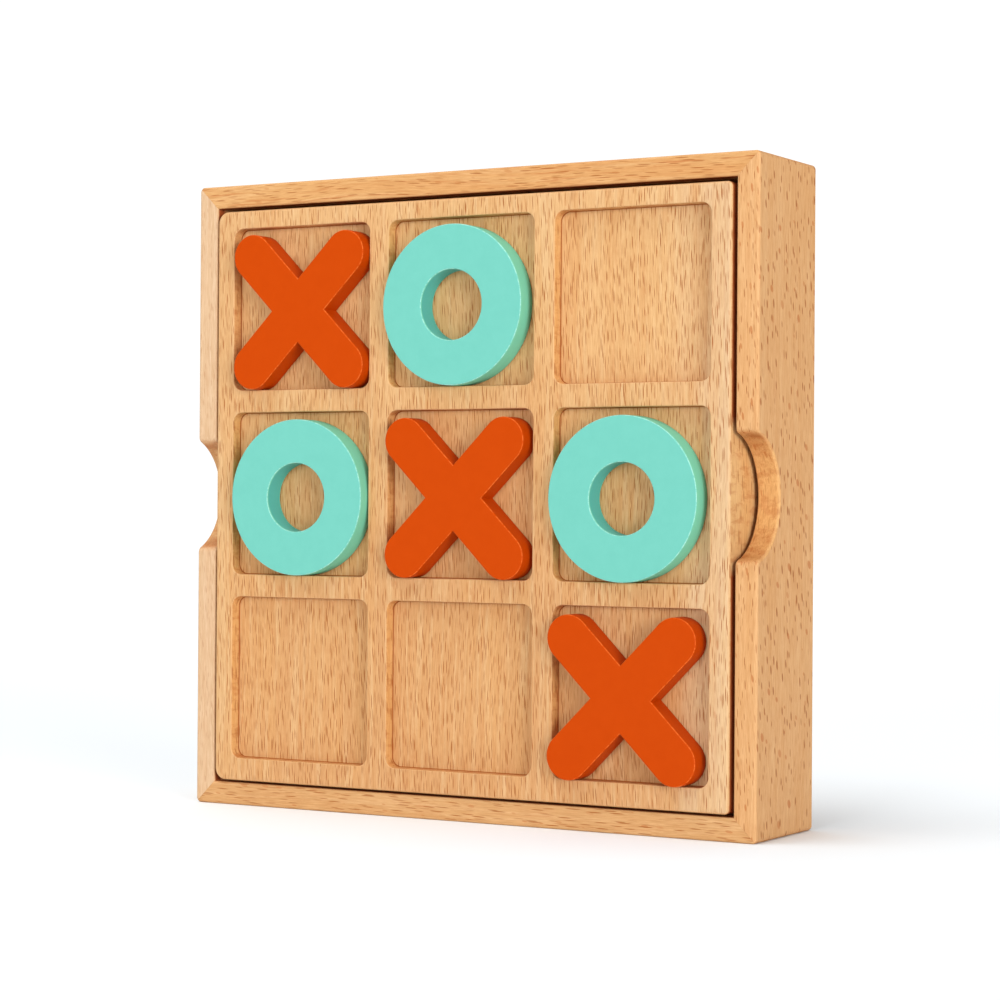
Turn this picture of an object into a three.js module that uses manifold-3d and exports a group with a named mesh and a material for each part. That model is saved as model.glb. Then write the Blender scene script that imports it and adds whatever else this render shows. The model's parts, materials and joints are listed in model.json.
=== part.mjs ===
// Wooden tic tac toe set: a shallow square box with mitred walls, a thick playing board that lifts
// out of its open face, and painted crosses and rings that lie in the board's nine cells or wait
// in the storage bay behind it.
//
// Millimetres, +Z up. The box stands on its bottom wall with the board facing -Y. The origin is the
// centre of the bottom wall's outer face.

import * as THREE from 'three';
import { mergeVertices } from 'three/addons/utils/BufferGeometryUtils.js';
import Module from 'manifold-3d';

// Box
const boxSide = 150;
const boxDepth = 30;
const wallThickness = 5.4;
const outerCornerRadius = 1.1;
const jointGap = 0.1; // glue line between wooden parts
const notchRadius = 14.2;
const notchLipRadius = 1.5;
const leftNotchDepth = 8.7;
const rightNotchDepth = 11.5;

// Back panel, held in a groove around the walls
const panelThickness = 3;
const panelRecess = 1;
const grooveDepth = 2.5;
const grooveClearance = 0.1;

// Corner blocks that carry the board
const blockLeg = 12;

// Board
const boardSide = 137.6;
const boardThickness = 15;
const boardLeftCornerRadius = 2.8;
const boardRightCornerRadius = 1.2;
const boardProud = 0.6;
const boardShiftX = -0.2; // how the board lies in the loose fit of the box
const boardShiftZ = -0.2;
const cellSide = 39;
const cellPitch = 44.4;
const cellRaise = 0.55; // the grid of cells is a little above the board's middle
const cellDepth = 3;
const cellCornerRadius = 2.4;

// Playing pieces
const pieceWidth = 37.1;
const pieceThickness = 5.5;
const ringHoleRadius = 8.15;
const crossArmWidth = 10.7;
const restGap = 0.05; // between a piece and the surface it rests on
const spareSpacing = 38;

// Colours
const paleBeech = { color: 0xeec08c, roughness: 0.6, metalness: 0 };
const boardBeech = { color: 0xe9b67c, roughness: 0.6, metalness: 0 };
const plywood = { color: 0xdcae74, roughness: 0.75, metalness: 0 };
const blockWood = { color: 0xe3bd88, roughness: 0.7, metalness: 0 };
const orangePaint = { color: 0xde500c, roughness: 0.45, metalness: 0 };
const tealPaint = { color: 0x86dccc, roughness: 0.45, metalness: 0 };

// Planes along Y, from the front of the box to its back
const boxFront = -boxDepth / 2;
const boxBack = boxDepth / 2;
const boardFront = boxFront - boardProud;
const boardBack = boardFront + boardThickness;
const cellFloor = boardFront + cellDepth;
const panelBack = boxBack - panelRecess;
const panelFront = panelBack - panelThickness;

const boxCentreZ = boxSide / 2;
const boardCentreZ = boxCentreZ + boardShiftZ;
const overshoot = 1; // how far a cutter runs past the surface it cuts

// ---------------------------------------------------------------- solids

const wasm = await Module();
wasm.setup();

function toSolid(geometry) {
  const bare = geometry.clone();
  bare.deleteAttribute('normal');
  bare.deleteAttribute('uv');
  const merged = mergeVertices(bare);
  return new wasm.Manifold(new wasm.Mesh({
    numProp: 3,
    vertProperties: new Float32Array(merged.attributes.position.array),
    triVerts: new Uint32Array(merged.index.array),
  }));
}

function toGeometry(solid) {
  const mesh = solid.getMesh();
  const geometry = new THREE.BufferGeometry();
  geometry.setAttribute('position', new THREE.BufferAttribute(mesh.vertProperties, 3));
  geometry.setIndex(new THREE.BufferAttribute(mesh.triVerts, 1));
  geometry.computeVertexNormals();
  return geometry;
}

function cut(geometry, cutters) {
  const solid = cutters.reduce((rest, cutter) => rest.subtract(toSolid(cutter)), toSolid(geometry));
  return toGeometry(solid);
}

// A plate whose outline is drawn in X and Z and whose faces lie at yFront and yBack.
function plate(outline, yFront, yBack, curveSegments = 3) {
  const depth = yBack - yFront;
  const geometry = new THREE.ExtrudeGeometry(outline, { depth, curveSegments, bevelEnabled: false });
  return geometry.rotateX(Math.PI / 2).translate(0, yBack, 0);
}

function roundedSquare(side, leftRadius, rightRadius, centreX, centreZ) {
  const outline = new THREE.Shape();
  for (let quarter = 0; quarter < 4; quarter += 1) {
    const middle = Math.PI / 4 + quarter * Math.PI / 2;
    const radius = Math.cos(middle) < 0 ? leftRadius : rightRadius;
    const reach = side / 2 - radius;
    const x = centreX + Math.sign(Math.cos(middle)) * reach;
    const z = centreZ + Math.sign(Math.sin(middle)) * reach;
    outline.absarc(x, z, radius, middle - Math.PI / 4, middle + Math.PI / 4, false);
  }
  return outline;
}

function makeMesh(name, geometry, finish) {
  const mesh = new THREE.Mesh(geometry, new THREE.MeshStandardMaterial(finish));
  mesh.name = name;
  return mesh;
}

// ---------------------------------------------------------------- box

// Each wall is drawn lying along X with its outer face at Z = 0 and its inside towards +Z.
function mitredOutline() {
  const half = boxSide / 2;
  const setback = jointGap / Math.SQRT2;
  const arcEnd = -Math.PI / 4 - Math.asin(jointGap / 2 / outerCornerRadius);
  const centreX = half - outerCornerRadius;
  const centreZ = outerCornerRadius;
  const outline = new THREE.Shape();
  outline.moveTo(half - wallThickness - setback, wallThickness);
  outline.lineTo(-half + wallThickness + setback, wallThickness);
  outline.absarc(-centreX, centreZ, outerCornerRadius, -Math.PI - arcEnd, -Math.PI / 2, false);
  outline.absarc(centreX, centreZ, outerCornerRadius, -Math.PI / 2, arcEnd, false);
  return outline;
}

function panelGroove() {
  const low = panelFront - grooveClearance;
  const high = panelBack + grooveClearance;
  const bottom = wallThickness - grooveDepth;
  const top = wallThickness + overshoot;
  const groove = new THREE.BoxGeometry(boxSide, high - low, top - bottom);
  return groove.translate(0, (low + high) / 2, (bottom + top) / 2);
}

// A finger notch is part of a circle whose centre lies in front of the wall, with a rounded lip at
// each side of its mouth.
function fingerNotch(notchDepth) {
  const centreY = boxFront + notchDepth - notchRadius;
  const lipY = boxFront + notchLipRadius;
  const lipX = Math.sqrt((notchRadius + notchLipRadius) ** 2 - (lipY - centreY) ** 2);
  const meet = Math.atan2(lipY - centreY, lipX);
  const outline = new THREE.Shape();
  outline.moveTo(-lipX, boxFront - overshoot);
  outline.lineTo(lipX, boxFront - overshoot);
  outline.absarc(lipX, lipY, notchLipRadius, -Math.PI / 2, meet - Math.PI, true);
  outline.absarc(0, centreY, notchRadius, meet, Math.PI - meet, false);
  outline.absarc(-lipX, lipY, notchLipRadius, -meet, -Math.PI / 2, true);
  const depth = wallThickness + 2 * overshoot;
  const notch = new THREE.ExtrudeGeometry(outline, { depth, curveSegments: 12, bevelEnabled: false });
  return notch.translate(0, 0, -overshoot);
}

function makeWall(name, notchDepth) {
  const blank = plate(mitredOutline(), boxFront, boxBack);
  const cutters = notchDepth > 0 ? [panelGroove(), fingerNotch(notchDepth)] : [panelGroove()];
  return makeMesh(name, cut(blank, cutters), paleBeech);
}

// A triangular block glued into an inside corner. It is drawn for the corner towards -X and -Z.
function makeCornerBlock(name) {
  const corner = boxSide / 2 - wallThickness - jointGap;
  const outline = new THREE.Shape();
  outline.moveTo(-corner, -corner);
  outline.lineTo(-corner + blockLeg, -corner);
  outline.lineTo(-corner, -corner + blockLeg);
  return makeMesh(name, plate(outline, boardBack + jointGap, panelFront - jointGap), blockWood);
}

function makeBackPanel() {
  const side = boxSide - 2 * (wallThickness - grooveDepth + grooveClearance);
  const panel = new THREE.BoxGeometry(side, panelThickness, side);
  return makeMesh('back_panel', panel.translate(0, (panelFront + panelBack) / 2, 0), plywood);
}

// The box is assembled around its own centre line: each side is a quarter turn from the last.
function makeBox() {
  const box = new THREE.Group();
  box.position.z = boxCentreZ;
  box.add(makeBackPanel());
  const sides = ['bottom', 'left', 'top', 'right'];
  const notchDepths = [0, leftNotchDepth, 0, rightNotchDepth];
  const corners = ['bottom_left', 'top_left', 'top_right', 'bottom_right'];
  sides.forEach((side, index) => {
    const turned = new THREE.Group();
    turned.rotation.y = index * Math.PI / 2;
    const wall = makeWall(`box_wall_${side}`, notchDepths[index]);
    wall.position.z = -boxSide / 2;
    turned.add(wall);
    turned.add(makeCornerBlock(`corner_block_${corners[index]}`));
    box.add(turned);
  });
  return box;
}

// ---------------------------------------------------------------- playing pieces

// Both kinds of piece are drawn around their own centre, with the back face at Y = 0.
function ringGeometry() {
  const outer = pieceWidth / 2;
  const profile = [
    new THREE.Vector2(outer, -pieceThickness),
    new THREE.Vector2(outer, 0),
    new THREE.Vector2(ringHoleRadius, 0),
    new THREE.Vector2(ringHoleRadius, -pieceThickness),
    new THREE.Vector2(outer, -pieceThickness),
  ];
  return new THREE.LatheGeometry(profile, 48);
}

function crossGeometry() {
  const halfArm = crossArmWidth / 2;
  const armReach = (pieceWidth / 2 - halfArm) * Math.SQRT2;
  const crotchReach = halfArm * Math.SQRT2;
  const outline = new THREE.Shape();
  for (let arm = 0; arm < 4; arm += 1) {
    const angle = Math.PI / 4 + arm * Math.PI / 2;
    const before = angle - Math.PI / 2;
    const after = angle + Math.PI / 2;
    const crotch = angle + Math.PI / 4;
    outline.absarc(armReach * Math.cos(angle), armReach * Math.sin(angle), halfArm, before, after);
    outline.lineTo(crotchReach * Math.cos(crotch), crotchReach * Math.sin(crotch));
  }
  return plate(outline, -pieceThickness, 0, 6);
}

function makeCross(name, x, y, z) {
  const cross = makeMesh(name, crossGeometry(), orangePaint);
  cross.position.set(x, y, z);
  return cross;
}

function makeRing(name, x, y, z) {
  const ring = makeMesh(name, ringGeometry(), tealPaint);
  ring.position.set(x, y, z);
  return ring;
}

// ---------------------------------------------------------------- board

// The centre of a cell, counted from the left in columns and from the bottom in rows.
function cellCentre(column, row) {
  return {
    x: boardShiftX + (column - 1) * cellPitch,
    z: boardCentreZ + cellRaise + (row - 1) * cellPitch,
  };
}

function makeGameBoard() {
  const outline = roundedSquare(
    boardSide, boardLeftCornerRadius, boardRightCornerRadius, boardShiftX, boardCentreZ,
  );
  const blank = plate(outline, boardFront, boardBack);
  const pockets = [];
  for (let column = 0; column < 3; column += 1) {
    for (let row = 0; row < 3; row += 1) {
      const { x, z } = cellCentre(column, row);
      const pocket = roundedSquare(cellSide, cellCornerRadius, cellCornerRadius, x, z);
      pockets.push(plate(pocket, boardFront - overshoot, cellFloor));
    }
  }
  return makeMesh('game_board', cut(blank, pockets), boardBeech);
}

// A piece in a cell lies against the cell's floor and stands on its lower side. It can lie up to
// 0.9 mm to the left or right of the cell's middle.
function inCell(makePiece, name, column, row, shift) {
  const { x, z } = cellCentre(column, row);
  const drop = (cellSide - pieceWidth) / 2 - restGap;
  return makePiece(name, x + shift, cellFloor - restGap, z - drop);
}

function makeBoard() {
  const board = new THREE.Group();
  board.add(makeGameBoard());
  board.add(inCell(makeCross, 'cross_piece_top_left', 0, 2, 0.85));
  board.add(inCell(makeCross, 'cross_piece_centre', 1, 1, -0.05));
  board.add(inCell(makeCross, 'cross_piece_bottom_right', 2, 0, -0.9));
  board.add(inCell(makeRing, 'ring_piece_top_middle', 1, 2, -0.9));
  board.add(inCell(makeRing, 'ring_piece_middle_left', 0, 1, 0.6));
  board.add(inCell(makeRing, 'ring_piece_middle_right', 2, 1, -0.9));
  return board;
}

// ---------------------------------------------------------------- storage bay

// The spare pieces lie against the back panel: three stand on the bottom wall and one stands on the
// middle one of them.
function makeSparePieces() {
  const y = panelFront - restGap;
  const lowerZ = wallThickness + pieceWidth / 2 + restGap;
  const upperZ = lowerZ + pieceWidth + restGap;
  const spares = new THREE.Group();
  spares.add(makeRing('spare_ring_piece_left', -spareSpacing, y, lowerZ));
  spares.add(makeCross('spare_cross_piece_lower', 0, y, lowerZ));
  spares.add(makeRing('spare_ring_piece_right', spareSpacing, y, lowerZ));
  spares.add(makeCross('spare_cross_piece_upper', 0, y, upperZ));
  return spares;
}

const ticTacToeSet = new THREE.Group();
ticTacToeSet.add(makeBox());
ticTacToeSet.add(makeBoard());
ticTacToeSet.add(makeSparePieces());

export default ticTacToeSet;
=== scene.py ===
# The looks of a wooden tic tac toe set: a mitred beech box, a thick board with nine pockets, and
# painted crosses and rings. Every piece is rebuilt here with eased edges and stands for the CAD node
# of its name.

import json
import math

import bmesh
import bpy
from mathutils import Matrix, Vector


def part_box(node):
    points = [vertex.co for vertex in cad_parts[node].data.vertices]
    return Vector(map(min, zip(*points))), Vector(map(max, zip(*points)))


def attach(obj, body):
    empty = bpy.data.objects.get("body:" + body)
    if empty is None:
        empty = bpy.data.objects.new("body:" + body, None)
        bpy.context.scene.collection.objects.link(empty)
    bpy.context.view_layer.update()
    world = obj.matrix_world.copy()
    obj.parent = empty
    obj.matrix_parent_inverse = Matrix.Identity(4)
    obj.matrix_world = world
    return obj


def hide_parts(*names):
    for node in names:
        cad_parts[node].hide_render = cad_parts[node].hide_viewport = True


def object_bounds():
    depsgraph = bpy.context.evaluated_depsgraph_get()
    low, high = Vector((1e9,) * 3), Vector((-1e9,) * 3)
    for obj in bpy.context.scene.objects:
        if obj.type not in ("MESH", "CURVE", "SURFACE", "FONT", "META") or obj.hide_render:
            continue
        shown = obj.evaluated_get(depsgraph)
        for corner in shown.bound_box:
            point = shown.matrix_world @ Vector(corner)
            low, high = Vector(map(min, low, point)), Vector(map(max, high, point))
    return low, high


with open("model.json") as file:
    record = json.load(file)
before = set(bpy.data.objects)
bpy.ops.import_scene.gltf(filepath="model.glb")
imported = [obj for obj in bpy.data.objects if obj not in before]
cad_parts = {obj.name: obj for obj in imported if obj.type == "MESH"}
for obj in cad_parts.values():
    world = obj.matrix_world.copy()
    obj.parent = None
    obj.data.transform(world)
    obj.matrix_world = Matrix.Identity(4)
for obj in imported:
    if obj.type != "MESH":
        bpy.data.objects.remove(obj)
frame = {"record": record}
cad_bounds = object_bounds()

MM = 0.001

# Board
CELL_SIDE = 39 * MM
CELL_PITCH = 44.4 * MM
CELL_RAISE = 0.55 * MM
CELL_DEPTH = 3 * MM
CELL_CORNER = 2.4 * MM
CELL_RIM_EASE = 0.3 * MM
CELL_COVE = 0.12 * MM
CREASE_SHADE_HALF = 0.25 * MM  # half the width of the dark line of painted shade in the crease round a cell's floor
FLOOR_BOUNCE_TINT = 0.15  # how much of the sawn colour a cell's flat floor takes, where 1 is a sawn side: a warm tint that paints the bounce light in the cell
BOARD_LEFT_CORNER = 2.8 * MM
BOARD_RIGHT_CORNER = 1.2 * MM
BOARD_EASE = 0.6 * MM
SIDE_START = 0.3 * MM  # where a plate's flat side begins, past its eased edge

# Box walls
OUTER_CORNER = 1.1 * MM
MITRE_GAP = 0.02 * MM
FRONT_OUTER_EASE = 0.6 * MM
FRONT_INNER_EASE = 0.45 * MM
FRONT_SHOULDER = 0.35 * MM  # a strip of the flat front edge beside each ease
INNER_SIDE_START = 0.2 * MM
BACK_EASE = 0.3 * MM
NOTCH_RADIUS = 14.2 * MM
NOTCH_LIP = 1.5 * MM
NOTCH_DEPTH = {"box_wall_left": 8.7 * MM, "box_wall_right": 11.5 * MM}
SCORCH_DEPTH = 2.6 * MM  # where the router has browned the ends of a notch
SCORCH_REACH = 1.6 * MM
SCORCH_LEVEL = 0.4
GROOVE_DEPTH = 2.5 * MM
GROOVE_CLEARANCE = 0.1 * MM

# Playing pieces
HOLE_RADIUS = 8.15 * MM
ARM_WIDTH = 10.7 * MM
PIECE_EASE = 0.3 * MM

# Other wooden parts
PANEL_CORNER = 0.6 * MM
PANEL_EASE = 0.15 * MM
BLOCK_LEG = 12 * MM
BLOCK_EASE = 0.3 * MM

# Steps of the curves
EASE_STEPS = 5
FINE_EASE_STEPS = 4
ARC_STEPS = 10
PANEL_ARC_STEPS = 3
CIRCLE_STEPS = 128
ARM_END_STEPS = 24
COVE_STEPS = 3
LIP_STEPS = 9
BOWL_STEPS = 48
CORNER_STEPS = 6

# Wood
RAY_STAGGER = 0.37  # how far each column of rays starts beyond the last, as a share of their spacing
GAP_SHADE_DEPTH = 3.0 * MM  # how far back the painted shade in the gap round the board reaches
GAP_SHADE_SOFT = 1.2 * MM
NOTCH_BARE_HALF = 15.5 * MM  # half the height of the middle of the board's sides, beside the finger notches, that stays without the painted gap shade
NOTCH_BARE_SOFT = 2 * MM

LIGHT_LEVEL = 1.5  # how bright the studio light makes a white surface on the front of the set

box_low, box_high = cad_bounds
centre_z = (box_low.z + box_high.z) / 2
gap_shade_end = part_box("game_board")[0].y + GAP_SHADE_DEPTH


# ---------------------------------------------------------------- mesh building

class Builder:
    """Collects rings of points and the faces between them into one mesh.

    Each point has four shares that the materials read: wear and highlight, on the crest of an eased
    edge, which is paler for wear and as a painted highlight; shade and scorch, a painted shade in the
    crease round each cell's floor and router scorch at the ends of a notch; sawn and bounce, where it is
    cut and not sanded, whose warm colour also paints the bounce light on cut faces in recesses; and
    painted shade, on sides that face a narrow gap and, on a playing piece, the inside of a hole."""

    def __init__(self):
        self.bm = bmesh.new()
        self.wear_and_highlight = self.bm.verts.layers.float.new("wear_and_highlight")
        self.shade_and_scorch = self.bm.verts.layers.float.new("shade_and_scorch")
        self.sawn_and_bounce = self.bm.verts.layers.float.new("sawn_and_bounce")
        self.painted_shade = self.bm.verts.layers.float.new("painted_shade")

    def ring(self, points, wear_and_highlight=0.0, shade_and_scorch=0.0, sawn_and_bounce=0.0, painted_shade=0.0):
        verts = [self.bm.verts.new(p) for p in points]
        for vert in verts:
            vert[self.wear_and_highlight] = wear_and_highlight
            vert[self.shade_and_scorch] = shade_and_scorch
            vert[self.sawn_and_bounce] = sawn_and_bounce
            vert[self.painted_shade] = painted_shade
        return verts

    def bridge(self, first, second, smooth=True):
        for i in range(len(first)):
            j = (i + 1) % len(first)
            self.bm.faces.new((first[i], first[j], second[j], second[i])).smooth = smooth

    def bridge_all(self, rings):
        for first, second in zip(rings, rings[1:]):
            self.bridge(first, second)

    def cap(self, ring):
        self.bm.faces.new(ring).smooth = False

    def fill_between(self, rings, normal):
        """Fills the flat region inside the first ring and outside the others."""
        edges = set()
        for ring in rings:
            for i, vert in enumerate(ring):
                edges.add(self.bm.edges.get((vert, ring[(i + 1) % len(ring)])))
        made = bmesh.ops.triangle_fill(self.bm, use_beauty=True, edges=list(edges), normal=normal)
        for item in made["geom"]:
            if isinstance(item, bmesh.types.BMFace):
                item.smooth = False

    def finish(self, node, material, body):
        """Makes the piece that stands for a CAD node."""
        bmesh.ops.recalc_face_normals(self.bm, faces=self.bm.faces)
        name = node + "_finished"
        mesh = bpy.data.meshes.new(name)
        self.bm.to_mesh(mesh)
        self.bm.free()
        mesh.materials.append(material)
        piece = bpy.data.objects.new(name, mesh)
        bpy.context.scene.collection.objects.link(piece)
        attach(piece, body)
        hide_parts(node)


def ease_profile(radius, steps=EASE_STEPS):
    """(inset, drop, wear and highlight share) from the flat face round to the side of an edge eased to a
    quarter circle.
    """
    profile = []
    for i in range(steps + 1):
        turn = math.pi / 2 * i / steps
        inset = radius * (1 - math.sin(turn))
        drop = radius * (1 - math.cos(turn))
        profile.append((inset, drop, math.sin(2 * turn)))
    return profile


def lift(outline, y):
    return [(x, y, z) for x, z in outline]


def arc(cx, cz, radius, start, end, steps):
    return [(cx + radius * math.cos(start + (end - start) * i / steps),
             cz + radius * math.sin(start + (end - start) * i / steps)) for i in range(steps + 1)]


def rounded_square(cx, cz, half, left_radius, right_radius, steps=ARC_STEPS):
    points = []
    for quarter in range(4):
        start = quarter * math.pi / 2
        middle = start + math.pi / 4
        radius = left_radius if math.cos(middle) < 0 else right_radius
        reach = half - radius
        x = cx + math.copysign(reach, math.cos(middle))
        z = cz + math.copysign(reach, math.sin(middle))
        points += arc(x, z, radius, start, start + math.pi / 2, steps)
    return points


def circle(cx, cz, radius):
    return arc(cx, cz, radius, 0, 2 * math.pi, CIRCLE_STEPS)[:-1]


def eased_side(builder, outline, y_front, y_back, ease, painted_shade=0.0):
    """Rings down a plate's side, from its front face to its back. outline takes an inset."""
    front_start = y_front + ease + SIDE_START
    back_start = y_back - ease - SIDE_START
    rings = []
    for inset, drop, wear_and_highlight in ease_profile(ease):
        rings.append(builder.ring(lift(outline(inset), y_front + drop), wear_and_highlight, sawn_and_bounce=drop / ease))
    rings.append(builder.ring(lift(outline(0), front_start), sawn_and_bounce=1.0, painted_shade=painted_shade))
    rings.append(builder.ring(lift(outline(0), back_start), sawn_and_bounce=1.0, painted_shade=painted_shade))
    for inset, drop, wear_and_highlight in reversed(ease_profile(ease)):
        rings.append(builder.ring(lift(outline(inset), y_back - drop), wear_and_highlight, sawn_and_bounce=drop / ease))
    builder.bridge_all(rings)
    return rings


# ---------------------------------------------------------------- playing pieces

def ring_piece(name, material, body):
    low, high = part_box(name)
    cx, cz = (low.x + high.x) / 2, (low.z + high.z) / 2
    radius = (high.x - low.x) / 2
    builder = Builder()

    def rim(inset):
        return circle(cx, cz, radius - inset)

    def hole_rim(inset):
        return circle(cx, cz, HOLE_RADIUS + inset)

    outer = eased_side(builder, rim, low.y, high.y, PIECE_EASE)
    # the hole's sides take the painted shade
    hole = eased_side(builder, hole_rim, low.y, high.y, PIECE_EASE, painted_shade=1.0)
    builder.bridge(outer[0], hole[0], smooth=False)
    builder.bridge(outer[-1], hole[-1], smooth=False)
    builder.finish(name, material, body)


def cross_outline(cx, cz, half_width, inset):
    half_arm = ARM_WIDTH / 2 - inset
    reach = (half_width - ARM_WIDTH / 2) * math.sqrt(2)
    crotch = half_arm * math.sqrt(2)
    points = []
    for arm in range(4):
        angle = math.pi / 4 + arm * math.pi / 2
        x = cx + reach * math.cos(angle)
        z = cz + reach * math.sin(angle)
        points += arc(x, z, half_arm, angle - math.pi / 2, angle + math.pi / 2, ARM_END_STEPS)
        after = angle + math.pi / 4
        points.append((cx + crotch * math.cos(after), cz + crotch * math.sin(after)))
    return points


def cross_piece(name, material, body):
    low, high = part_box(name)
    cx, cz = (low.x + high.x) / 2, (low.z + high.z) / 2
    half_width = (high.x - low.x) / 2
    builder = Builder()

    def outline(inset):
        return cross_outline(cx, cz, half_width, inset)

    side = eased_side(builder, outline, low.y, high.y, PIECE_EASE)
    builder.cap(side[0])
    builder.cap(side[-1])
    points_per_arm = ARM_END_STEPS + 2
    for first, second in zip(side, side[1:]):
        for i in range(points_per_arm - 1, len(first), points_per_arm):
            builder.bm.edges.get((first[i], second[i])).smooth = False
    builder.finish(name, material, body)


# ---------------------------------------------------------------- board

def pocket(builder, cx, cz, front):
    """Rings from a cell's rim on the front face down its side to its flat floor. Returns the rim."""
    levels = []
    for inset, drop, wear_and_highlight in ease_profile(CELL_RIM_EASE, FINE_EASE_STEPS):
        levels.append((-inset, drop, wear_and_highlight, 0, drop / CELL_RIM_EASE))
    # From here the rings round the crease at the foot of the wall carry a dark line of painted shade,
    # and the floor takes a little warm colour as painted bounce light.
    levels.append((0, CELL_DEPTH - CREASE_SHADE_HALF, 0, 0, 1))
    for i in range(COVE_STEPS + 1):
        turn = math.pi / 2 * i / COVE_STEPS
        inset = CELL_COVE * (1 - math.cos(turn))
        drop = CELL_DEPTH - CELL_COVE * (1 - math.sin(turn))
        levels.append((inset, drop, 0, 1, 1 - i / COVE_STEPS))
    levels.append((CREASE_SHADE_HALF, CELL_DEPTH, 0, 0, FLOOR_BOUNCE_TINT))
    rings = []
    for inset, drop, wear_and_highlight, shade_and_scorch, sawn_and_bounce in levels:
        radius = CELL_CORNER - inset
        outline = rounded_square(cx, cz, CELL_SIDE / 2 - inset, radius, radius)
        rings.append(builder.ring(lift(outline, front + drop), wear_and_highlight, shade_and_scorch, sawn_and_bounce))
    builder.bridge_all(rings)
    builder.cap(rings[-1])
    return rings[0]


def game_board(name, material, body):
    low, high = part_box(name)
    cx, cz = (low.x + high.x) / 2, (low.z + high.z) / 2
    half = (high.x - low.x) / 2
    builder = Builder()

    def outline(inset):
        left_radius = BOARD_LEFT_CORNER - inset
        right_radius = BOARD_RIGHT_CORNER - inset
        return rounded_square(cx, cz, half - inset, left_radius, right_radius)

    # the board's sides face the narrow gap and take the painted shade
    side = eased_side(builder, outline, low.y, high.y, BOARD_EASE, painted_shade=1.0)
    rims = []
    for column in (-1, 0, 1):
        for row in (-1, 0, 1):
            x = cx + column * CELL_PITCH
            z = cz + CELL_RAISE + row * CELL_PITCH
            rims.append(pocket(builder, x, z, low.y))
    builder.fill_between([side[0]] + rims, (0, -1, 0))
    builder.cap(side[-1])
    builder.finish(name, material, body)


# ---------------------------------------------------------------- box

def notch_stations(deepest):
    """(s, depth, normal s, normal y) along the edge of a finger notch, from one lip to the other.

    The notch is part of a circle whose centre lies in front of the wall."""
    rise = NOTCH_RADIUS - deepest
    lip_s = math.sqrt((NOTCH_RADIUS + NOTCH_LIP) ** 2 - (NOTCH_LIP + rise) ** 2)
    meet = math.atan2(NOTCH_LIP + rise, lip_s)
    lip = []
    for i in range(LIP_STEPS):
        turn = (math.pi / 2 - meet) * i / LIP_STEPS
        lip.append((-lip_s + NOTCH_LIP * math.sin(turn), NOTCH_LIP * (1 - math.cos(turn)),
                    -math.sin(turn), math.cos(turn)))
    bowl = []
    for i in range(BOWL_STEPS + 1):
        angle = math.pi - meet - (math.pi - 2 * meet) * i / BOWL_STEPS
        bowl.append((NOTCH_RADIUS * math.cos(angle), NOTCH_RADIUS * math.sin(angle) - rise,
                     math.cos(angle), math.sin(angle)))
    far_lip = [(-s, depth, -ns, ny) for s, depth, ns, ny in reversed(lip)]
    return lip + bowl + far_lip


def wall_stations(half, thickness, notch_depth):
    """Cross-sections along a wall. Each is (outer s, outer w, inner s, depth, normal s, normal y)."""
    inner_end = half - thickness - MITRE_GAP / math.sqrt(2)
    middle = [(0.0, 0.0, 0.0, 1.0)]
    if notch_depth:
        middle = notch_stations(notch_depth)
    reach = (middle[-1][0] + inner_end) / 2
    near_end = [(-inner_end, 0.0, 0.0, 1.0), (-reach, 0.0, 0.0, 1.0)]
    far_end = [(reach, 0.0, 0.0, 1.0), (inner_end, 0.0, 0.0, 1.0)]
    stations = [(s, 0.0, s, depth, ns, ny) for s, depth, ns, ny in near_end + middle + far_end]
    arc_end = math.pi / 4 - math.asin(MITRE_GAP / 2 / OUTER_CORNER)
    fan = []
    for i in range(CORNER_STEPS + 1):
        turn = arc_end * i / CORNER_STEPS
        s = half - OUTER_CORNER + OUTER_CORNER * math.sin(turn)
        w = OUTER_CORNER * (1 - math.cos(turn))
        fan.append((s, w, inner_end, 0.0, 0.0, 1.0))
    near_fan = [(-s, w, -inner, depth, ns, ny) for s, w, inner, depth, ns, ny in reversed(fan)]
    return near_fan + stations + fan


def wall_section(thickness, depth, groove):
    """The closed cross-section as (w, drop along the front normal, y, wear and highlight, sawn and
    bounce, painted shade).

    Points of the front edge follow the notch, so they have a drop. The others have a y instead."""
    points = []
    for inset, drop, wear_and_highlight in reversed(ease_profile(FRONT_OUTER_EASE)):
        points.append((inset, drop, None, wear_and_highlight, 0, 0))
    points.append((FRONT_OUTER_EASE + FRONT_SHOULDER, 0, None, 0, 0, 0))
    points.append((thickness - FRONT_INNER_EASE - FRONT_SHOULDER, 0, None, 0, 0, 0))
    for inset, drop, wear_and_highlight in ease_profile(FRONT_INNER_EASE):
        points.append((thickness - inset, drop, None, wear_and_highlight, drop / FRONT_INNER_EASE, 0))
    # the inner side faces the gap round the board and takes the painted shade
    points.append((thickness, FRONT_INNER_EASE + INNER_SIDE_START, None, 0, 1, 1))
    for w, y in ((thickness, groove[0]), (thickness - GROOVE_DEPTH, groove[0]),
                 (thickness - GROOVE_DEPTH, groove[1]), (thickness, groove[1])):
        points.append((w, None, y, 0, 1, 1))
    for inset, drop, wear_and_highlight in reversed(ease_profile(BACK_EASE, FINE_EASE_STEPS)):
        points.append((thickness - inset, None, depth - drop, wear_and_highlight, 0, 0))
    for inset, drop, wear_and_highlight in ease_profile(BACK_EASE, FINE_EASE_STEPS):
        points.append((inset, None, depth - drop, wear_and_highlight, 0, 0))
    return points


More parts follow.
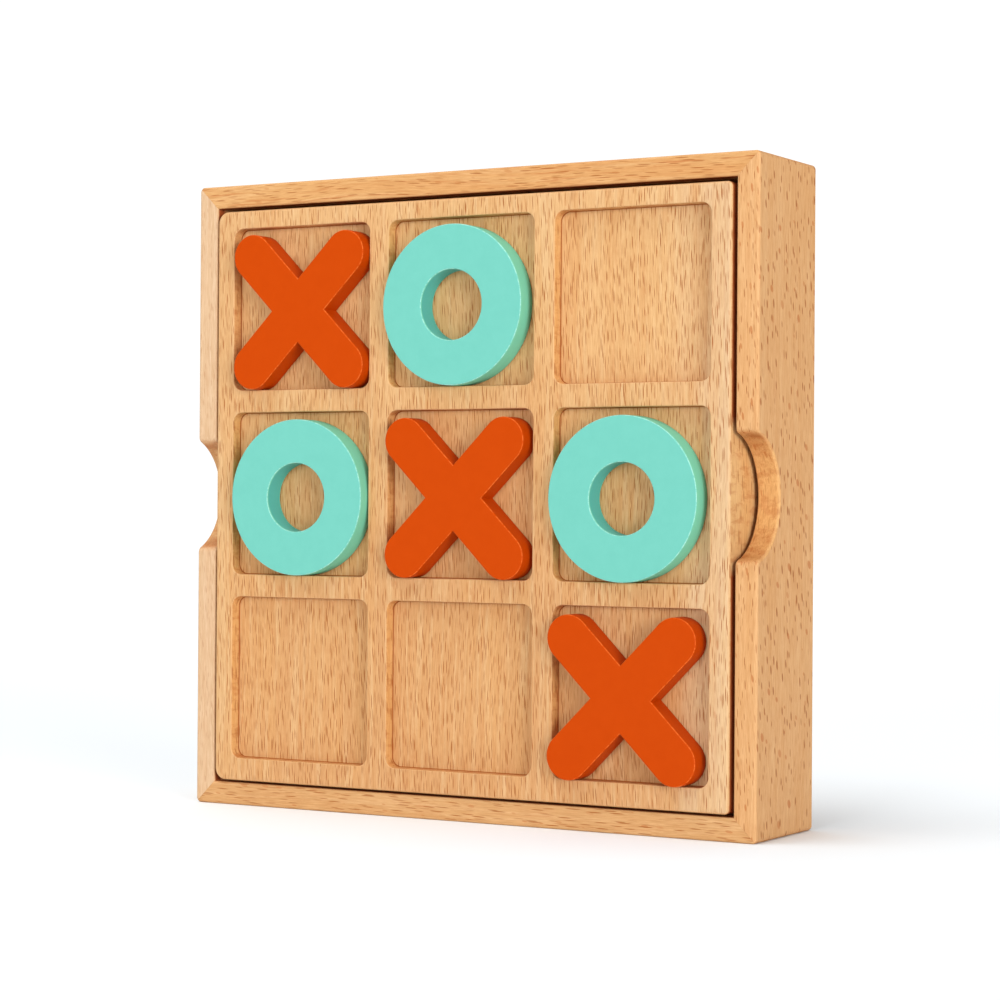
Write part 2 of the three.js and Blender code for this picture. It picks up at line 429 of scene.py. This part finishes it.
def box_wall(name, material, body, middle, along, inward):
    """A wall from mitre to mitre: one cross-section at each station, joined into a tube."""
    low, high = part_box(name)
    size = high - low
    thickness = abs(size.dot(Vector(inward)))
    half = (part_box("box_wall_right")[1].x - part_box("box_wall_left")[0].x) / 2
    panel_low, panel_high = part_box("back_panel")
    groove = (panel_low.y - low.y - GROOVE_CLEARANCE, panel_high.y - low.y + GROOVE_CLEARANCE)
    section = wall_section(thickness, size.y, groove)
    middle, along, inward = Vector(middle), Vector(along), Vector(inward)
    middle.y = low.y
    front = Vector((0, 1, 0))
    builder = Builder()
    rings = []
    stations = wall_stations(half, thickness, NOTCH_DEPTH.get(name))
    for outer_s, outer_w, inner_s, depth, normal_s, normal_y in stations:
        verts = []
        for w, drop, y, wear_and_highlight, sawn_and_bounce, painted_shade in section:
            share = w / thickness
            s = outer_s + (inner_s - outer_s) * share
            across = outer_w + (thickness - outer_w) * share
            ease = FRONT_OUTER_EASE if w < thickness / 2 else FRONT_INNER_EASE
            s += normal_s * (ease if drop is None else drop)
            if y is None:
                y = depth + normal_y * drop
            vert = builder.bm.verts.new(middle + along * s + inward * across + front * y)
            vert[builder.wear_and_highlight] = wear_and_highlight
            vert[builder.sawn_and_bounce] = sawn_and_bounce
            vert[builder.painted_shade] = painted_shade
            if drop is not None and 0 < w < thickness and depth > 0:
                vert[builder.sawn_and_bounce] = min(1, depth / NOTCH_LIP)
                scorch = 1 - abs(depth - SCORCH_DEPTH) / SCORCH_REACH
                vert[builder.shade_and_scorch] = SCORCH_LEVEL * max(0, scorch)
            verts.append(vert)
        rings.append(verts)
    front_points = 2 * (EASE_STEPS + 1) + 2
    groove_points = 5  # the start of the inner side, then the groove's four corners
    back_start = front_points + groove_points
    back_points = range(back_start, back_start + 2 * (FINE_EASE_STEPS + 1) - 1)
    for first, second in zip(rings, rings[1:]):
        for i in range(len(section)):
            j = (i + 1) % len(section)
            face = builder.bm.faces.new((first[i], first[j], second[j], second[i]))
            face.smooth = i < front_points or i in back_points
    for ring in (rings[0], rings[-1]):
        builder.cap(ring)
        for i, vert in enumerate(ring):
            builder.bm.edges.get((vert, ring[(i + 1) % len(ring)])).smooth = False
    bmesh.ops.remove_doubles(builder.bm, verts=builder.bm.verts, dist=1e-7)
    builder.finish(name, material, body)


def corner_block(name, material, body):
    """A triangular block whose right angle sits in the box's inside corner."""
    low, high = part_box(name)
    across = 1 if "right" in name else -1
    up = 1 if "top" in name else -1
    corner_x = high.x if across > 0 else low.x
    corner_z = high.z if up > 0 else low.z

    def outline(inset):
        near = inset
        far = BLOCK_LEG - inset * (1 + math.sqrt(2))
        return [(corner_x - across * near, corner_z - up * near),
                (corner_x - across * far, corner_z - up * near),
                (corner_x - across * near, corner_z - up * far)]

    builder = Builder()
    side = eased_side(builder, outline, low.y, high.y, BLOCK_EASE)
    builder.cap(side[0])
    builder.cap(side[-1])
    for face in builder.bm.faces:
        face.smooth = False
    builder.finish(name, material, body)


def back_panel(name, material, body):
    """The thin panel that closes the box behind the storage bay."""
    low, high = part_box(name)
    cx, cz = (low.x + high.x) / 2, (low.z + high.z) / 2
    half = (high.x - low.x) / 2
    builder = Builder()

    def outline(inset):
        radius = PANEL_CORNER - inset
        return rounded_square(cx, cz, half - inset, radius, radius, PANEL_ARC_STEPS)

    side = eased_side(builder, outline, low.y, high.y, PANEL_EASE)
    builder.cap(side[0])
    builder.cap(side[-1])
    builder.finish(name, material, body)


# ---------------------------------------------------------------- materials

def seen(red, green, blue):
    """The surface colour that looks like this display colour, 0 to 255, on the lit front of the set."""
    linear = []
    for value in (red, green, blue):
        share = value / 255
        light = share / 12.92 if share <= 0.04045 else ((share + 0.055) / 1.055) ** 2.4
        linear.append(light / LIGHT_LEVEL)
    return (*linear, 1.0)


class Shader:
    """A node tree with short ways to add the nodes that the materials share."""

    def __init__(self, name):
        self.material = bpy.data.materials.new(name)
        self.material.use_nodes = True
        self.tree = self.material.node_tree
        self.principled = self.tree.nodes["Principled BSDF"]

    def node(self, kind, **settings):
        node = self.tree.nodes.new(kind)
        for key, value in settings.items():
            setattr(node, key, value)
        return node

    def plug(self, source, socket):
        if isinstance(source, bpy.types.NodeSocket):
            self.tree.links.new(source, socket)
        else:
            socket.default_value = source

    def math(self, operation, first, second=0.0):
        node = self.node("ShaderNodeMath", operation=operation)
        self.plug(first, node.inputs[0])
        self.plug(second, node.inputs[1])
        return node.outputs[0]

    def vector(self, operation, first, second):
        node = self.node("ShaderNodeVectorMath", operation=operation)
        self.plug(first, node.inputs[0])
        self.plug(second, node.inputs[1])
        return node.outputs["Value" if operation == "DOT_PRODUCT" else "Vector"]

    def remap(self, value, low, high, to_low=0.0, to_high=1.0, smooth=False):
        node = self.node("ShaderNodeMapRange", clamp=True)
        if smooth:
            node.interpolation_type = "SMOOTHSTEP"
        for socket, item in zip(node.inputs, (value, low, high, to_low, to_high)):
            self.plug(item, socket)
        return node.outputs["Result"]

    def noise(self, coordinates, detail, roughness, colour=False):
        node = self.node("ShaderNodeTexNoise", noise_dimensions="3D")
        self.plug(coordinates, node.inputs["Vector"])
        node.inputs["Scale"].default_value = 1.0
        node.inputs["Detail"].default_value = detail
        node.inputs["Roughness"].default_value = roughness
        return node.outputs["Color" if colour else 0]

    def mix(self, factor, first, second, blend="MIX"):
        node = self.node("ShaderNodeMix", data_type="RGBA", blend_type=blend, clamp_factor=True)
        self.plug(factor, node.inputs["Factor"])
        self.plug(first, node.inputs[6])
        self.plug(second, node.inputs[7])
        return node.outputs[2]

    def painted(self, attribute):
        return self.node("ShaderNodeAttribute", attribute_name=attribute).outputs["Fac"]

    def bump(self, height, depth):
        node = self.node("ShaderNodeBump")
        node.inputs["Distance"].default_value = depth
        self.plug(height, node.inputs["Height"])
        self.tree.links.new(node.outputs["Normal"], self.principled.inputs["Normal"])


AXES = {"X": (1, 0, 0), "Y": (0, 1, 0), "Z": (0, 0, 1)}

# How often each pattern in the wood repeats per millimetre, across the grain, with the rays and along it
DRIFT_RATE = (0.045, 0.045, 0.014)
BAND_RATE = (0.16, 0.09, 0.008)
PALE_RATE = (0.9, 0.5, 0.025)
SCORCH_RATE = (0.35, 0.2, 0.55)
PATCH_RATE = (0.25, 0.25, 0.6)
FIBRE_RATE = (4.6, 3.4, 0.22)
STREAK_RATE = (1.9, 1.3, 0.07)
SWIRL_RATE = (0.05, 0.05, 0.012)
PORE_RATE = (3.0, 1.0, 0.12)

# The same for the paint: its mottle, the nicks in its worn edges and the grain that shows through
MOTTLE_RATE = (0.35, 0.35, 0.35)
NICK_RATE = (1.3, 1.3, 1.3)
RELIEF_RATE = (5.0, 5.0, 0.8)

DRIFT_REACH = (5.0, 5.0, 0.0)  # millimetres
FIBRE_DEPTHS = (0.12, 0.19, 0.27)  # how much the fibres darken and lighten red, green and blue

# How fully each kind of point takes its own colour
SAWN_AND_BOUNCE_STRENGTH = 0.6
SHADE_AND_SCORCH_STRENGTH = 0.85
PAINTED_SHADE_STRENGTH = 0.85
WEAR_AND_HIGHLIGHT_STRENGTH = 0.3

# The broad rays: room for each in millimetres, share of the rooms with one, their least and greatest
# reach, and how soft they are
BROAD_RAYS = ((1.8, 4.8, 5.2), 0.45, 0.05, 0.22, 0.06)
THIN_RAY_REACH = (0.20, 0.31)
THIN_RAY_SOFT = 0.12


def other_axis(first, second):
    return ({"X", "Y", "Z"} - {first, second}).pop()


def grain_space(shader, along, radial, seed):
    """Object coordinates in millimetres, turned so that X is across the grain, Y goes with the rays and
    Z runs along the grain, with a slow wander so that no line of grain is quite straight."""
    coordinates = shader.node("ShaderNodeTexCoord").outputs["Object"]
    turned = shader.node("ShaderNodeCombineXYZ")
    for socket, axis in zip(turned.inputs, (other_axis(along, radial), radial, along)):
        shader.plug(shader.vector("DOT_PRODUCT", coordinates, tuple(c / MM for c in AXES[axis])), socket)
    placed = shader.vector("ADD", turned.outputs[0], seed)
    drift = shader.noise(shader.vector("MULTIPLY", placed, DRIFT_RATE), 1.0, 0.4, colour=True)
    drift = shader.vector("SUBTRACT", drift, (0.5, 0.5, 0.5))
    drift = shader.vector("MULTIPLY", drift, DRIFT_REACH)
    return shader.vector("ADD", placed, drift)


def rays(shader, space, facing, size, share, reach_low, reach_high, soft):
    """Spindles scattered over the surface, 0 to 1.

    facing says whether the surface faces across the grain, and along it. size is the room for one
    spindle across the grain, with the rays and along it, and share of the rooms have one. Its reach and
    its soft edge are shares of its room."""
    room = shader.node("ShaderNodeSeparateXYZ")
    shader.plug(shader.vector("DIVIDE", space, size), room.inputs[0])
    across, radial, along = room.outputs
    flat = []
    for own, turned in zip((across, along), facing):
        other = shader.math("MULTIPLY", shader.math("SUBTRACT", radial, own), turned)
        flat.append(shader.math("ADD", own, other))
    stagger = shader.math("MULTIPLY", flat[0], RAY_STAGGER)
    staggered = shader.node("ShaderNodeCombineXYZ")
    shader.plug(flat[0], staggered.inputs[0])
    shader.plug(shader.math("ADD", flat[1], stagger), staggered.inputs[1])
    cells = shader.node("ShaderNodeTexVoronoi", voronoi_dimensions="2D", feature="F1")
    shader.plug(staggered.outputs[0], cells.inputs["Vector"])
    cells.inputs["Scale"].default_value = 1.0
    chance = shader.node("ShaderNodeSeparateColor")
    shader.plug(cells.outputs["Color"], chance.inputs[0])
    reach = shader.remap(chance.outputs[0], 0.0, 1.0, reach_low, reach_high)
    inside = shader.math("SUBTRACT", reach, cells.outputs["Distance"])
    inside = shader.remap(inside, 0.0, soft, smooth=True)
    strength = shader.remap(chance.outputs[1], 1.0 - share, 1.0 - share / 2)
    return shader.math("MULTIPLY", inside, strength)


def beech(name, along, radial, seed, tones, fine, coarse=0.3, streaks=0.2, light_falloffs=(), bare_at_notches=False):
    """Beech with slow bands of tone, fine fibres, and the dark ends of its rays.

    tones are the pale, middle and warm colours. fine is the strength of the thin rays, how common they
    are and the room for each in millimetres. coarse and streaks are the strengths of the broad rays and
    of the long streaks. Each fade is a painted falloff of the light: a direction, where it starts and
    ends along that, and the colour it leads to. With the last flag set, the middle of the sides' height,
    beside the finger notches, is left without the painted gap shade."""
    shader = Shader(name)
    space = grain_space(shader, along, radial, seed)
    coordinates = shader.node("ShaderNodeTexCoord")

    colour = tones[1]
    # each fade paints a falloff of the light across the piece
    for direction, start, end, tone in light_falloffs:
        reach = shader.vector("DOT_PRODUCT", coordinates.outputs["Object"], direction)
        colour = shader.mix(shader.remap(reach, start, end, smooth=True), colour, tone)
    slow = shader.noise(shader.vector("MULTIPLY", space, BAND_RATE), 3.0, 0.55)
    quick = shader.noise(shader.vector("MULTIPLY", space, PALE_RATE), 2.0, 0.5)
    warm = shader.remap(slow, 0.45, 0.70, 0.0, 0.8, smooth=True)
    colour = shader.mix(warm, colour, tones[2])
    pale = shader.remap(quick, 0.48, 0.68, 0.0, 0.5, smooth=True)
    colour = shader.mix(pale, colour, tones[0])

    facing = []
    for axis in (other_axis(along, radial), along):
        toward = shader.vector("DOT_PRODUCT", coordinates.outputs["Normal"], AXES[axis])
        facing.append(shader.math("ABSOLUTE", toward))
    turned = [shader.math("GREATER_THAN", item, 0.7) for item in facing]
    # cut faces take the warm sawn colour, which also paints the warm bounce light on them in recesses
    sawn_and_bounce = shader.painted("sawn_and_bounce")
    colour = shader.mix(shader.math("MULTIPLY", sawn_and_bounce, SAWN_AND_BOUNCE_STRENGTH), colour, SAWN_AND_BOUNCE)
    scorch = shader.noise(shader.vector("MULTIPLY", space, SCORCH_RATE), 3.0, 0.65)
    scorch = shader.math("MULTIPLY", sawn_and_bounce, shader.remap(scorch, 0.46, 0.66, 0.0, 0.45, smooth=True))
    colour = shader.mix(scorch, colour, WARM_RAY)
    end_grain = shader.remap(facing[1], 0.3, 0.9, smooth=True)
    patches = shader.noise(shader.vector("MULTIPLY", space, PATCH_RATE), 2.0, 0.6)
    end_grain = shader.math("MULTIPLY", end_grain, shader.remap(patches, 0.35, 0.65, 0.1, 0.6))
    colour = shader.mix(end_grain, colour, WARM_RAY)

    fibres = shader.noise(shader.vector("MULTIPLY", space, FIBRE_RATE), 3.0, 0.7)
    shade = shader.node("ShaderNodeCombineColor")
    for socket, depth in zip(shade.inputs, FIBRE_DEPTHS):
        shader.plug(shader.remap(fibres, 0.3, 0.7, 1.0 - depth, 1.0 + depth), socket)
    colour = shader.mix(1.0, colour, shade.outputs[0], "MULTIPLY")

    long_noise = shader.noise(shader.vector("MULTIPLY", space, STREAK_RATE), 2.0, 0.5)
    streak = shader.remap(long_noise, 0.56, 0.72, 0.0, streaks, smooth=True)
    colour = shader.mix(streak, colour, WARM_RAY)

    broad = rays(shader, space, turned, *BROAD_RAYS)
    colour = shader.mix(shader.math("MULTIPLY", broad, coarse), colour, WARM_RAY)
    strength, share, room = fine
    thin = rays(shader, space, turned, room, share, *THIN_RAY_REACH, THIN_RAY_SOFT)
    thin = shader.math("MULTIPLY", thin, shader.remap(sawn_and_bounce, 0.3, 1.0, strength, 0.5 * strength))
    colour = shader.mix(thin, colour, DARK_RAY)

    # a dark line of painted shade in the crease round each cell's floor, and router scorch at the ends
    # of a notch
    shade_and_scorch = shader.math("MULTIPLY", shader.painted("shade_and_scorch"), SHADE_AND_SCORCH_STRENGTH)
    colour = shader.mix(shade_and_scorch, colour, SHADE_AND_SCORCH)
    # sides facing the narrow gap round the board take a painted shade, which fades out a few millimetres
    # back from the front
    depth = shader.vector("DOT_PRODUCT", coordinates.outputs["Object"], AXES["Y"])
    near_front = shader.remap(depth, gap_shade_end, gap_shade_end + GAP_SHADE_SOFT, 1.0, 0.0)
    painted_shade = shader.math("MULTIPLY", shader.painted("painted_shade"), near_front)
    # beside the finger notches the middle of the sides' height stays without the painted shade
    if bare_at_notches:
        height = shader.vector("DOT_PRODUCT", coordinates.outputs["Object"], AXES["Z"])
        off_middle = shader.math("ABSOLUTE", shader.math("SUBTRACT", height, centre_z))
        away_from_notches = shader.remap(off_middle, NOTCH_BARE_HALF, NOTCH_BARE_HALF + NOTCH_BARE_SOFT)
        painted_shade = shader.math("MULTIPLY", painted_shade, away_from_notches)
    colour = shader.mix(shader.math("MULTIPLY", painted_shade, PAINTED_SHADE_STRENGTH), colour, PAINTED_SHADE)
    # eased edges turn paler, for wear and as a painted highlight
    wear_and_highlight = shader.math("MULTIPLY", shader.painted("wear_and_highlight"), WEAR_AND_HIGHLIGHT_STRENGTH)
    colour = shader.mix(wear_and_highlight, colour, tones[0])

    shader.plug(colour, shader.principled.inputs["Base Color"])
    shader.plug(shader.remap(fibres, 0.3, 0.7, 0.62, 0.5), shader.principled.inputs["Roughness"])
    shader.principled.inputs["Specular IOR Level"].default_value = 0.12
    shader.bump(fibres, 0.03 * MM)
    return shader.material


def plywood(name):
    """Rotary-cut birch face: broad soft figure with sparse fine pores."""
    shader = Shader(name)
    space = grain_space(shader, "Z", "Y", (31.0, 7.0, 3.0))
    swirl = shader.noise(shader.vector("MULTIPLY", space, SWIRL_RATE), 3.0, 0.55)
    figure = shader.math("SINE", shader.math("MULTIPLY", swirl, 60.0))
    colour = shader.mix(shader.remap(figure, -0.6, 1.0), seen(232, 186, 134), seen(222, 172, 118))
    fibres = shader.noise(shader.vector("MULTIPLY", space, PORE_RATE), 4.0, 0.6)
    colour = shader.mix(shader.remap(fibres, 0.5, 0.75, 0.0, 0.45), colour, seen(184, 132, 84))
    shader.plug(colour, shader.principled.inputs["Base Color"])
    shader.plug(shader.remap(fibres, 0.3, 0.7, 0.72, 0.62), shader.principled.inputs["Roughness"])
    shader.principled.inputs["Specular IOR Level"].default_value = 0.15
    shader.bump(fibres, 0.06 * MM)
    return shader.material


def paint(name, colour, side, inside, light, dark):
    """Satin paint sprayed on wood: a faint mottle, a side colour that paints the light on the sides,
    a painted shade inside a hole, grain that shows through as relief, and worn edges with a painted
    highlight."""
    shader = Shader(name)
    space = grain_space(shader, "Z", "Y", (3.0, 5.0, 9.0))
    mottle = shader.noise(shader.vector("MULTIPLY", space, MOTTLE_RATE), 3.0, 0.6)
    body = shader.mix(shader.remap(mottle, 0.35, 0.7, 0.0, 0.6), colour, dark)
    normal = shader.node("ShaderNodeTexCoord").outputs["Normal"]
    # sides take their own colour as painted light: warm bounce light on the rings, a touch of shade on
    # the crosses
    facing = shader.math("ABSOLUTE", shader.vector("DOT_PRODUCT", normal, AXES["Y"]))
    body = shader.mix(shader.remap(facing, 0.7, 0.1), body, side)
    # the inside of a hole takes painted shade
    body = shader.mix(shader.painted("painted_shade"), body, inside)
    # a broken pale line on the crest of each eased edge: worn paint and a painted highlight
    nicks = shader.noise(shader.vector("MULTIPLY", space, NICK_RATE), 3.0, 0.7)
    line = shader.remap(shader.painted("wear_and_highlight"), 0.6, 0.95, smooth=True)
    worn_and_highlit = shader.math("MULTIPLY", line, shader.remap(nicks, 0.40, 0.58))
    body = shader.mix(worn_and_highlit, body, light)
    shader.plug(body, shader.principled.inputs["Base Color"])
    relief = shader.noise(shader.vector("MULTIPLY", space, RELIEF_RATE), 3.0, 0.6)
    shader.plug(shader.remap(relief, 0.3, 0.7, 0.38, 0.5), shader.principled.inputs["Roughness"])
    shader.principled.inputs["Specular IOR Level"].default_value = 0.04
    shader.bump(relief, 0.02 * MM)
    return shader.material


DARK_RAY = seen(176, 98, 38)
WARM_RAY = seen(210, 126, 66)
# the colour of cut faces, which also paints the warm bounce light in recesses
SAWN_AND_BOUNCE = seen(255, 193, 116)
# painted shade for the crease round a cell's floor, and the colour of router scorch in a notch
SHADE_AND_SCORCH = seen(170, 84, 18)
# painted shade for the gap round the board and the inside of a ring's hole
PAINTED_SHADE = seen(188, 76, 20)

# The board's fades paint the falloff of the light: darker towards the bottom, lighter at the right
# border and a touch darker at the left border.
board_wood = beech("board_beech", "Z", "Y", (0.0, 0.0, 0.0),
                   (seen(247, 204, 150), seen(242, 190, 131), seen(235, 176, 115)),
                   (0.95, 0.9, (0.40, 1.6, 6.4)), bare_at_notches=True,
                   light_falloffs=(((0, 0, -1), -0.12, -0.04, seen(231, 173, 116)),
                          ((1, 0, 0), 0.050, 0.062, seen(241, 199, 152)),
                          ((-1, 0, 0), 0.056, 0.066, seen(238, 185, 127))))
left_wood = beech("left_wall_beech", "Z", "Y", (11.0, 3.0, 17.0),
                  (seen(244, 207, 168), seen(240, 199, 156), seen(236, 190, 146)),
                  (0.35, 0.5, (0.5, 1.6, 3.8)), 0.1, 0.1)
right_wood = beech("right_wall_beech", "Z", "Y", (57.0, 31.0, 5.0),
                   (seen(246, 192, 135), seen(239, 181, 122), seen(235, 173, 111)),
                   (0.8, 0.55, (0.46, 1.4, 4.0)), 0.7, 0.15)
top_wood = beech("top_wall_beech", "X", "Y", (83.0, 14.0, 41.0),
                 (seen(244, 190, 130), seen(237, 178, 114), seen(230, 162, 98)),
                 (0.75, 0.7, (0.46, 1.6, 7.0)), 0.3, 0.6)
bottom_wood = beech("bottom_wall_beech", "X", "Y", (23.0, 61.0, 29.0),
                    (seen(241, 190, 134), seen(232, 177, 118), seen(226, 166, 106)),
                    (0.85, 0.7, (0.46, 1.6, 7.0)), 0.5, 0.3)
block_wood = beech("corner_block_beech", "Y", "X", (5.0, 45.0, 71.0),
                   (seen(246, 204, 154), seen(238, 190, 138), seen(228, 172, 116)),
                   (0.6, 0.6, (0.8, 1.8, 3.0)), 0.3, 0.2)
panel_wood = plywood("panel_plywood")
# side paints the light on the pieces' sides, inside the shade in a ring's hole, and light the pale line
# of worn paint and painted highlight on their edges
orange = paint("orange_paint", colour=seen(220, 78, 4), side=seen(214, 74, 2),
               inside=seen(214, 74, 2), light=seen(250, 124, 54), dark=seen(216, 75, 2))
teal = paint("teal_paint", colour=seen(129, 219, 202), side=seen(142, 232, 194),
             inside=seen(106, 204, 190), light=seen(190, 250, 234), dark=seen(124, 214, 197))


# ---------------------------------------------------------------- assembly

BODY_OF = {}
for body_name, node_names in frame["record"]["behaviour"]["bodies"].items():
    for node_name in node_names:
        BODY_OF[node_name] = body_name

# Each wall's wood, the middle of its outer face at the front, the way it runs and the way into the box
WALLS = {
    "box_wall_bottom": (bottom_wood, (0, 0, box_low.z), (1, 0, 0), (0, 0, 1)),
    "box_wall_top": (top_wood, (0, 0, box_high.z), (1, 0, 0), (0, 0, -1)),
    "box_wall_left": (left_wood, (box_low.x, 0, centre_z), (0, 0, 1), (1, 0, 0)),
    "box_wall_right": (right_wood, (box_high.x, 0, centre_z), (0, 0, 1), (-1, 0, 0)),
}

for node_name, body_name in BODY_OF.items():
    if node_name in WALLS:
        wood, middle, along, inward = WALLS[node_name]
        box_wall(node_name, wood, body_name, middle, along, inward)
    elif "corner_block" in node_name:
        corner_block(node_name, block_wood, body_name)
    elif "ring_piece" in node_name:
        ring_piece(node_name, teal, body_name)
    elif "cross_piece" in node_name:
        cross_piece(node_name, orange, body_name)

back_panel("back_panel", panel_wood, BODY_OF["back_panel"])
game_board("game_board", board_wood, BODY_OF["game_board"])


# ---------------------------------------------------------------- floor, light and camera

FLOOR_HALF = 3.0
FLOOR_GAP = 0.02 * MM
FLOOR_COLOUR = (0.895, 0.93, 0.955, 1)


def floor():
    corners = [(x * FLOOR_HALF, y * FLOOR_HALF, 0) for x, y in ((-1, -1), (1, -1), (1, 1), (-1, 1))]
    mesh = bpy.data.meshes.new("floor")
    mesh.from_pydata(corners, [], [(0, 1, 2, 3)])
    white = Shader("floor_white")
    white.principled.inputs["Base Color"].default_value = FLOOR_COLOUR
    white.principled.inputs["Roughness"].default_value = 0.9
    white.principled.inputs["Specular IOR Level"].default_value = 0.0
    mesh.materials.append(white.material)
    ground = bpy.data.objects.new("floor", mesh)
    ground.location.z = box_low.z - FLOOR_GAP
    bpy.context.scene.collection.objects.link(ground)


def towards(azimuth, elevation):
    """The way from the set to something at this azimuth, 0 in front and 90 to the right, in degrees."""
    turn, rise = math.radians(azimuth), math.radians(elevation)
    return Vector((math.sin(turn) * math.cos(rise), -math.cos(turn) * math.cos(rise), math.sin(rise)))


def broad_light(name, azimuth, elevation, spread, level):
    """Even light from a wide patch of the room, spread degrees across."""
    data = bpy.data.lights.new(name, "SUN")
    data.angle = math.radians(spread)
    data.energy = level * math.pi
    lamp = bpy.data.objects.new(name, data)
    lamp.rotation_mode = "QUATERNION"
    lamp.rotation_quaternion = towards(azimuth, elevation).to_track_quat("Z", "Y")
    bpy.context.scene.collection.objects.link(lamp)


def white_room(seen_level, light_level):
    """A background that the camera sees as white and that lights the set less brightly."""
    world = bpy.data.worlds.new("white_room")
    world.use_nodes = True
    tree = world.node_tree
    path = tree.nodes.new("ShaderNodeLightPath")
    level = tree.nodes.new("ShaderNodeMapRange")
    level.inputs["To Min"].default_value = light_level
    level.inputs["To Max"].default_value = seen_level
    tree.links.new(path.outputs["Is Camera Ray"], level.inputs["Value"])
    background = tree.nodes["Background"]
    background.inputs["Color"].default_value = (1, 1, 1, 1)
    tree.links.new(level.outputs["Result"], background.inputs["Strength"])
    bpy.context.scene.world = world


CAMERA_AZIMUTH = 30.372
CAMERA_ELEVATION = -0.169
CAMERA_ROLL = 0.372
CAMERA_DISTANCE = 615.17 * MM
CAMERA_TARGET = Vector((3.485 * MM, -3.0 * MM, 74.1 * MM))
CAMERA_LENS = 94.93


def camera():
    """Stands to the right of the set's front, level with its middle, with a long lens."""
    roll = math.radians(CAMERA_ROLL)
    back = towards(CAMERA_AZIMUTH, CAMERA_ELEVATION)
    right = Vector((0, 0, 1)).cross(back).normalized()
    up = back.cross(right)
    turn = Matrix((right * math.cos(roll) + up * math.sin(roll),
                   up * math.cos(roll) - right * math.sin(roll), back)).transposed()
    data = bpy.data.cameras.new("camera")
    data.lens = CAMERA_LENS
    data.clip_start = 0.01
    eye = bpy.data.objects.new("camera", data)
    place = CAMERA_TARGET + back * CAMERA_DISTANCE
    eye.matrix_world = Matrix.Translation(place) @ turn.to_4x4()
    bpy.context.scene.collection.objects.link(eye)
    bpy.context.scene.camera = eye


floor()
white_room(seen_level=1.05, light_level=0.34)
broad_light("key_light", azimuth=2, elevation=7, spread=20, level=0.35)
broad_light("right_light", azimuth=60, elevation=5, spread=30, level=0.90)
broad_light("top_front_light", azimuth=-25, elevation=64, spread=40, level=0.38)
broad_light("top_left_light", azimuth=-88, elevation=68, spread=46, level=0.26)
broad_light("back_light", azimuth=180, elevation=70, spread=44, level=0.10)
camera()
bpy.context.scene.view_settings.view_transform = "Standard"
